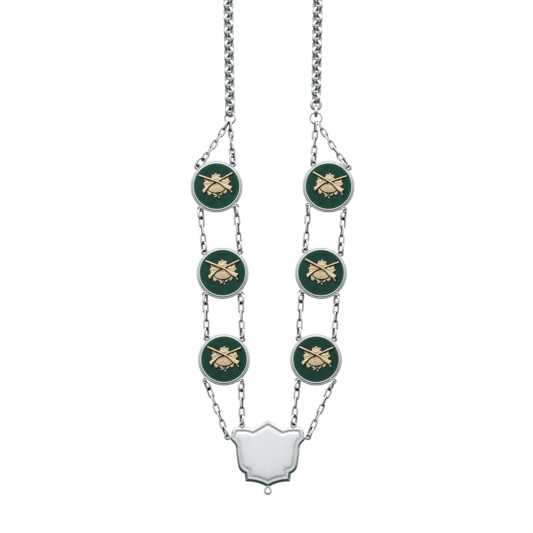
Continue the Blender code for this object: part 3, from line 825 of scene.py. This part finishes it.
def emblemForms():  # (outline, height) from the back to the front
    e = emblem

    def curved(outline):
        return smoothed(outline, e["curveSteps"])

    centreX, centreY = targetShape["centre"]
    halfX, halfY = targetShape["size"]
    oval = [(centreX + halfX * math.cos(angle), centreY + halfY * math.sin(angle))
            for angle in fullCircle(targetShape["steps"])]
    forms = [(curved(webOutline), partial(domeHeight, e["webTop"], e["webDrop"], e["webRound"]))]
    forms += [(curved(leaf["outline"]), partial(leafHeight, leaf)) for leaf in leaves]
    forms += [(curved(acorn["outline"]), partial(acornHeight, acorn)) for acorn in acorns]
    for index, stroke in enumerate(ribbon):
        top = e["ribbonTop"] + e["ribbonStep"] * index
        height = partial(domeHeight, top, e["ribbonDrop"], e["ribbonRound"])
        forms.append((curved(strokeOutline(stroke)), height))
    forms.append((oval, targetHeight))
    forms += [(divided(rifle["outline"], rifleShape["sideLength"]), partial(rifleHeight, rifle))
              for rifle in rifles]
    return forms


def buildEmblemMesh():
    e = emblem
    forms = emblemForms()
    shadowOffset = numpy.array(e["shadowOffset"])
    placed = []
    for index, (outline, height) in enumerate(forms):
        higher = [above for above, _ in forms[index + 1:]]

        def shade(points, edge):  # painted shadow: dark along the lower edges and in the shelter of every higher form
            lower = points - shadowOffset
            gap = numpy.where(within(lower, outline), nearness(lower, outline), 0.0)
            dark = e["edgeShadow"] * ridge(gap, e["edgeReach"])
            if height is targetHeight:
                dark = numpy.maximum(dark, targetShape["dull"])
            upward = points + shadowOffset
            for above in higher:
                away = numpy.where(within(upward, above), 0.0, nearness(upward, above))
                dark = numpy.maximum(dark, ridge(away, e["shadowReach"]))
            return dark

        insets = targetShape["insets"] if height is targetHeight else e["insets"]
        mesh = reliefMesh("form" + str(index), outline, height, e["back"], e["spacing"], insets, shade)
        placed.append((mesh, unmoved))
    return finished(joined("emblem", placed), gilt)


def medalNode(side, row, part):
    return "_".join(("medal", side, row, part)).lower()


def buildMedals():
    parts = [
        ("bezel", buildBezelMesh(), "silver"),
        ("enamel", buildEnamelMesh(), "green_enamel"),
        ("emblem", buildEmblemMesh(), "gilt"),
    ]
    for side in sides:
        for row in rows:
            centre = nodeCentre(medalNode(side, row, "enamel"))
            place = facing(centre.x, centre.z) @ turned(medal["turn"][side + row])
            for part, mesh, slot in parts:
                addPiece(part + side + row, mesh, medalNode(side, row, part), place)


buildMedals()
print("medals made")


# Shield
shield = {
    "width": 58.8, "height": 51.8, "arcSteps": 5, "insetPower": 0.7,
    "fieldSpacing": 1.0, "fieldInsets": [0.15, 0.35, 0.6, 0.85, 1.1, 1.4, 1.8], "fieldDepth": 0.3,
    "pillowRise": 0.66, "pillowStart": 0.15, "pillowReach": 1.5, "fieldCrown": 0.35, "fieldReach": 9.0,
    # Painted shade along the border of the field: its reach and how it grows towards the foot
    "shadeReach": 3.4, "shadePower": 2,
    "eyeletBite": 0.6, "eyeletRow": {"Inner": 1, "Outer": 3}, "eyeletShare": {"Inner": 0.60, "Outer": 0.90},
}
pendant = {"width": 6.3, "wire": 1.5, "arcSteps": 24, "wireSteps": 14, "bite": 0.6, "point": 0.9, "power": 6}
# Right half of the outline: x as a share of half the width, drop as a share of the height,
# and the arc to the next row as a bulge in shares of its chord, with its number of steps
shieldOutline = [
    (0, 0, 0, 1), (0.398, 0.126, 0.062, 3), (0.864, 0.109, 0, 1), (0.912, 0.13, 0, 1), (1, 0.275, 0, 1),
    (0.92, 0.325, -0.12, 3), (0.83, 0.445, 0.016, 2), (0.778, 0.68, 0.127, 4), (0.604, 0.796, 0, 1),
    (0.586, 0.913, -0.075, 3), (0, 1, 0, 1),
]
# Section of the border from the back to the field: distance in at the top and at the foot,
# height and how deep in a crevice, which lays in painted shade and tarnish
borderProfile = [
    (1.4, 1.4, -1.2, 0), (0.3, 0.3, -1.2, 0), (0.08, 0.08, -1.1, 0), (0, 0, -0.85, 0), (0, 0, -0.45, 0.1),
    (0.02, 0.04, -0.26, 0.1), (0.04, 0.2, -0.08, 0), (0.1, 0.7, 0.26, 0), (0.5, 1.4, 0.74, 0),
    (0.78, 1.88, 1.06, 0), (0.88, 2.08, 1.16, 0), (1, 2.24, 1.2, 0), (1.1, 2.34, 1.2, 0),
    (2.06, 2.95, 1.2, 0), (2.74, 3.28, 1.2, 0.1), (2.78, 3.34, 1.17, 0.2), (2.84, 3.42, 1.08, 0.2),
    (2.98, 3.6, 0.84, 0.2), (3.12, 3.78, 0.6, 0.4), (3.2, 3.9, 0.46, 0.4), (3.28, 4.02, 0.4, 0.2),
]


def shieldPoint(row):
    x, drop, _, _ = shieldOutline[row]
    return Vector((x * shield["width"] / 2, -drop * shield["height"]))


def shieldPoints():  # the whole outline clockwise, with its top point at the origin
    right = []
    last = len(shieldOutline) - 1
    for row in range(last):
        _, _, bulge, steps = shieldOutline[row]
        chord = shieldPoint(row + 1) - shieldPoint(row)
        steps = steps if steps == 1 else steps * shield["arcSteps"]
        for step in range(steps):
            share = step / steps
            outward = Vector((-chord.y, chord.x)) * bulge * 4 * share * (1 - share)
            right.append(shieldPoint(row) + chord * share + outward)
    right.append(shieldPoint(last))
    return right + [Vector((-point.x, point.y)) for point in reversed(right[1:-1])]


def insetOutline(outline, top, foot):  # mitred, with sides that vanish on the way in closed to a point
    count = len(outline)
    lows = [(-point.y / shield["height"]) ** shield["insetPower"] for point in outline]
    ring = [insetPoint(outline, index, top + (foot - top) * low) for index, low in enumerate(lows)]
    for index in range(count):
        after = (index + 1) % count
        side = outline[after] - outline[index]
        if side.dot(ring[after] - ring[index]) < 0:
            before = (index - 1) % count
            beyond = (index + 2) % count
            lineOne = (ring[index], ring[index] + outline[index] - outline[before])
            lineTwo = (ring[after], ring[after] + outline[beyond] - outline[after])
            meeting = crossing(lineOne, lineTwo)
            ring[index] = meeting
            ring[after] = meeting
    return ring


def crossing(lineOne, lineTwo):
    (a, b), (c, d) = lineOne, lineTwo
    run, other = b - a, d - c
    share = ((c.x - a.x) * other.y - (c.y - a.y) * other.x) / (run.x * other.y - run.y * other.x)
    return a + run * share


def shieldEyeletSpot(which, sign):
    row = shield["eyeletRow"][which]
    chord = shieldPoint(row + 1) - shieldPoint(row)
    outward = Vector((-chord.y, chord.x)).normalized()
    reach = eyelet["width"] / 2 - shield["eyeletBite"]
    place = shieldPoint(row) + chord * shield["eyeletShare"][which] + outward * reach
    return Vector((sign * place.x, place.y))


def shieldField(ring, level):  # domed sheet inside the border
    s = shield

    def height(x, y, edge):
        share = numpy.clip((edge - s["pillowStart"]) / s["pillowReach"], 0, 1)
        pillow = s["pillowRise"] * share * share * (3 - 2 * share)
        return level + pillow + s["fieldCrown"] * (1 - numpy.exp(-edge / s["fieldReach"]))

    def shade(points, edge):  # painted shade along the border, mostly at the foot
        low = numpy.clip(-points[:, 1] / s["height"], 0, 1)
        return numpy.exp(-edge / s["shadeReach"]) * low ** s["shadePower"]

    back = level - s["fieldDepth"]
    return reliefMesh("field", ring, height, back, s["fieldSpacing"], s["fieldInsets"], shade)


def pendantRing():  # a wire ring drawn out to a point where it is soldered on
    p = pendant
    path = []
    radius = (p["width"] - p["wire"]) / 2
    for point, outward in ovalPath(radius, radius, p["arcSteps"]):
        lift = max(0.0, outward.y) ** p["power"] * p["point"]
        path.append((point + Vector((0.0, lift, 0.0)), outward))
    return sweptRing("pendantRing", path, wireSection(p["wire"], p["wireSteps"]))


def shieldTop():  # the top point of the outline, as (x, z)
    low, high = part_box("shield")
    return Vector(((low.x + high.x) / 2, high.z))


def buildShield():
    s = shield
    outline = shieldPoints()
    lines = [[(*point, height) for point in insetOutline(outline, top, foot)]
             for top, foot, height, _ in borderProfile]
    border = gridMesh("border", lines, False, True, [depth for *_, depth in borderProfile for _ in outline])
    backCap = meshFrom("backCap", lines[0], [tuple(range(len(outline)))], [0.0] * len(outline))
    placed = [(border, unmoved), (backCap, unmoved)]
    loop = wireRing("eyelet", eyelet)
    for which in s["eyeletRow"]:
        for sign in sides.values():
            place = shieldEyeletSpot(which, sign)
            placed.append((loop, spot(place.x, place.y)))
    ringDrop = s["height"] - pendant["bite"] + pendant["width"] / 2
    placed.append((pendantRing(), spot(0.0, -ringDrop)))
    top, foot, level, _ = borderProfile[-1]
    field = shieldField(insetOutline(outline, top, foot), level)
    place = facing(*shieldTop())
    addPiece("shieldBorder", finished(joined("shield", placed), silver), "shield", place)
    addPiece("shieldField", finished(joined("field", [(field, unmoved)]), satin), "shield", place)


buildShield()
print("shield made")


# Fine chains: anchor links, with a heavier jump ring through each eyelet
fineChain = {
    "link": {"width": 5.1, "wire": 1.4, "arcSteps": 10, "wireSteps": 10, "roll": 24},
    "jump": {"width": 7.0, "wire": 1.7, "arcSteps": 10, "wireSteps": 12, "roll": 44},
    # last pair: painted shade with some grime, in the hole and at the ends of each link
    "linkHoleMin": 2.9, "jumpHole": 2.9, "grimeAndShade": (0.85, 2.2),
    "rows": ["Top", "Upper", "Lower", "Bottom"],
    "links": {"TopOuter": 6, "TopInner": 5, "UpperOuter": 3, "UpperInner": 3,
              "LowerOuter": 3, "LowerInner": 3, "BottomOuter": 5, "BottomInner": 3},
    "fewerLinks": {"RightTopInner": 1},
    "seed": 11, "shake": (0.4, 1), "endRoll": {"LeftTopOuter": -62},
    "pathSteps": 40, "bendAngle": {"Left": 110, "Right": 69}, "bendReach": 24.7,
}
jitter = random.Random(fineChain["seed"])


def nodePoint(node):  # centre of a node in millimetres, as (x, z)
    centre = nodeCentre(node) / mm
    return Vector((centre.x, centre.z))


def heading(degrees):
    angle = math.radians(degrees)
    return Vector((math.cos(angle), math.sin(angle)))


def medalEyelet(side, row, end, outward):  # centre of an eyelet in millimetres, as (x, z)
    angle = eyeletAngle(end, outward) + medal["turn"][side + row]
    return nodePoint(medalNode(side, row, "enamel")) + heading(angle) * medal["eyeletReach"]


def chainPath(start, end, bend):  # points along the way, straight or through a bend
    steps = fineChain["pathSteps"]
    if bend is None:
        return [start.lerp(end, step / steps) for step in range(steps + 1)]
    share = (bend - start).length / ((bend - start).length + (end - bend).length)
    guide = (bend - start * (1 - share) ** 2 - end * share ** 2) / (2 * share * (1 - share))
    path = []
    for step in range(steps + 1):
        t = step / steps
        path.append(start * (1 - t) ** 2 + guide * 2 * t * (1 - t) + end * t ** 2)
    return path


def pathPlace(path, along):  # point and direction at a distance along a path
    for start, end in zip(path, path[1:]):
        length = (end - start).length
        if along <= length or end is path[-1]:
            direction = (end - start) / length
            return start + direction * along, direction
        along -= length


def buildFineChain(side, row, track, path):
    c = fineChain
    count = c["links"][row + track] - c["fewerLinks"].get(side + row + track, 0)
    total = sum((end - start).length for start, end in zip(path, path[1:]))
    jumps = 1 if row == "Top" else 2  # a top chain begins with a link on the junction ring
    startHole = holeRadius(junction if row == "Top" else eyelet)
    endHole = holeRadius(eyelet)
    hole = (total - startHole - endHole - 2 * jumps * c["jumpHole"]) / (2 * count)
    holes = {"link": max(c["linkHoleMin"], hole), "jump": c["jumpHole"]}
    kinds = ["jump"] * (jumps - 1) + ["link"] * count + ["jump"]
    first = startHole + holes[kinds[0]]
    shapes = {kind: wireLink(kind, 2 * (half + c[kind]["wire"]), c[kind], c["grimeAndShade"])
              for kind, half in holes.items()}
    pitches = [holes[one] + holes[two] for one, two in zip(kinds, kinds[1:])]
    slack = (total - first - endHole - c["jumpHole"]) / sum(pitches)
    twist = 90 / (len(kinds) - 1) if len(kinds) % 2 == 0 else 0  # so that both end links lie alike
    placed = []
    along = first
    for index, kind in enumerate(kinds):
        place, direction = pathPlace(path, along)
        shake = jitter.choice((-1, 1)) * jitter.uniform(*c["shake"]) * c[kind]["roll"]
        if index == len(kinds) - 1:
            shake += c["endRoll"].get(side + row + track, 0)
        roll = math.radians(90 + (90 + twist) * index + shake)
        matrix = linkMatrix(Vector((place.x, 0.0, place.y)), Vector((direction.x, 0.0, direction.y)), roll)
        placed.append((shapes[kind], matrix))
        if index < len(pitches):
            along += pitches[index] * slack
    name = "fineChain" + side + row + track
    node = "_".join(("chain", side, row, track)).lower()
    addPiece(name, finished(joined(name, placed), chainSilver), node)


def buildFineChains(side, sign):
    ring = nodePoint("junction_ring_" + side.lower())
    bendAway = heading(fineChain["bendAngle"][side]) * fineChain["bendReach"]
    bend = nodePoint(medalNode(side, "Top", "enamel")) + bendAway
    for track, outward in (("Outer", sign), ("Inner", -sign)):
        starts = [ring] + [medalEyelet(side, row, -1, outward) for row in rows]
        ends = [medalEyelet(side, row, 1, outward) for row in rows]
        ends.append(shieldTop() / mm + shieldEyeletSpot(track, sign))
        for row, start, end in zip(fineChain["rows"], starts, ends):
            path = chainPath(start, end, bend if row + track == "TopOuter" else None)
            buildFineChain(side, row, track, path)


for sideName, sideSign in sides.items():
    buildFineChains(sideName, sideSign)
print("fine chains made")


# Stage, light and camera
stage = {
    "floorZ": -0.60, "floorRadius": 1.3, "floorSteps": 96, "floorRoughness": 0.7, "floorGlow": 0.28,
    "floorDark": rgb(0.91, 0.91, 0.91), "floorPale": rgb(0.95, 0.95, 0.95), "floorGrain": (30, 4),
    "keyPlace": (-0.3, -0.55, 0.15), "keyAim": (0.0, 0.0, -0.3), "keyPower": 6.0, "keySize": 0.18,
    "cameraDistance": 4.0, "sensorWidth": 36.0,
}
photo = {"width": 533, "millimetresPerPixel": 0.769, "centreX": -5.0, "centreZ": -311.1}
# The room that the metal mirrors, by direction: across is to the right, depth away from the
# camera and rise upwards. A blend is where it begins and ends, with its values there if not 0 and 1.
studio = {
    "bands": [  # by rise, from the floor to the ceiling
        (0.00, (0.03, 0.045, 0.045)), (0.20, (0.06, 0.085, 0.085)), (0.34, (0.15, 0.19, 0.20)),
        (0.43, (0.32, 0.36, 0.38)), (0.50, (0.66, 0.69, 0.71)), (0.62, (0.80, 0.82, 0.84)),
        (0.76, (1.25, 1.26, 1.28)), (0.90, (1.60, 1.60, 1.60)),
    ],
    "frontTilt": 0.45, "frontDepth": (-0.48, 0.30, 1.0, 0.06), "frontDark": rgb(0.035, 0.06, 0.06),
    "rightSide": (0.45, 0.90, 1.0, 2.3), "leftSide": (-0.95, -0.65, 1.25, 1.0),
    "backDepth": (0.50, 0.70), "backRise": (0.35, 0.55, 1.0, 0.0), "backHeight": (-1.0, 1.0),
    "backLow": rgb(0.46, 0.48, 0.48), "backHigh": rgb(1.10, 1.12, 1.14),
    "levelRise": (0.06, 0.24), "levelAcross": (0.60, 0.85), "levelDepth": (-0.2, 0.2),
    "levelSides": (-0.5, 0.5), "levelLeft": rgb(0.80, 0.78, 0.74), "levelRight": rgb(0.54, 0.53, 0.50),
    "diffuse": rgb(0.56, 0.565, 0.572), "backdrop": rgb(1.0, 1.0, 1.0),
}


def paleFloor(shader):
    grain = shader.noise(shader.objectPoint(), *stage["floorGrain"])
    return {
        "Base Color": shader.mixColor(grain, stage["floorDark"], stage["floorPale"]),
        "Roughness": stage["floorRoughness"],
        "Emission Color": rgb(1.0, 1.0, 1.0),
        "Emission Strength": stage["floorGlow"],
    }


def buildFloor():
    bpy.ops.mesh.primitive_circle_add(vertices=stage["floorSteps"], radius=stage["floorRadius"],
                                      fill_type="NGON", location=(0.0, 0.0, stage["floorZ"]))
    floor = bpy.context.object
    floor.name = "floor"
    floor.visible_glossy = False
    floor.visible_diffuse = False
    floor.data.materials.append(surface("pale_floor", paleFloor))


def buildWorld():
    s = studio
    world = bpy.data.worlds.new("studio")
    bpy.context.scene.world = world
    world.use_nodes = True
    shader = Shader(world.node_tree)
    direction = shader.node("ShaderNodeTexCoord", output="Generated")
    across, depth, rise = (shader.node("ShaderNodeSeparateXYZ", None, {0: direction}, axis) for axis in "XYZ")
    bands = shader.node("ShaderNodeValToRGB", {"stops": s["bands"]}, {0: 0.5 + 0.5 * rise})
    level = shader.mixColor(shader.remap(across, *s["levelSides"]), s["levelLeft"], s["levelRight"])
    offLevel = shader.largest(
        shader.remap(abs(rise), *s["levelRise"]),
        shader.remap(abs(across), *s["levelAcross"]),
        shader.remap(depth, *s["levelDepth"]))
    front = shader.remap(depth - s["frontTilt"] * rise, *s["frontDepth"])
    beside = shader.largest(shader.remap(across, *s["rightSide"]), shader.remap(across, *s["leftSide"]))
    back = shader.remap(depth, *s["backDepth"]) * shader.remap(abs(rise), *s["backRise"])
    backWall = shader.mixColor(shader.remap(rise, *s["backHeight"]), s["backLow"], s["backHigh"])
    reflected = shader.mixColor(offLevel, level, bands)
    reflected = shader.mixColor(front * beside, s["frontDark"], reflected)
    reflected = shader.mixColor(back, reflected, backWall)
    mirrored = shader.node("ShaderNodeLightPath", output="Is Glossy Ray")
    seen = shader.node("ShaderNodeLightPath", output="Is Camera Ray")
    color = shader.mixColor(mirrored, s["diffuse"], reflected)
    color = shader.mixColor(seen, color, s["backdrop"])
    background = shader.node("ShaderNodeBackground", None, {"Color": color, "Strength": 1.0})
    shader.node("ShaderNodeOutputWorld", None, {"Surface": background})


def addKeyLight():
    light = bpy.data.lights.new("keyLight", "AREA")
    light.energy = stage["keyPower"]
    light.size = stage["keySize"]
    lamp = bpy.data.objects.new("keyLight", light)
    bpy.context.scene.collection.objects.link(lamp)
    lamp.location = stage["keyPlace"]
    aim = Vector(stage["keyAim"]) - Vector(stage["keyPlace"])
    lamp.rotation_euler = aim.to_track_quat("-Z", "Y").to_euler()
    lamp.visible_glossy = False


def buildCamera():
    view = photo["width"] * photo["millimetresPerPixel"] * mm
    camera = bpy.data.cameras.new("camera")
    camera.sensor_width = stage["sensorWidth"]
    camera.lens = camera.sensor_width * stage["cameraDistance"] / view
    holder = bpy.data.objects.new("camera", camera)
    bpy.context.scene.collection.objects.link(holder)
    holder.location = (photo["centreX"] * mm, -stage["cameraDistance"], photo["centreZ"] * mm)
    holder.rotation_euler = (math.pi / 2, 0.0, 0.0)
    bpy.context.scene.camera = holder


buildFloor()
buildWorld()
addKeyLight()
buildCamera()
bpy.context.scene.view_settings.view_transform = "Standard"
print("stage made")
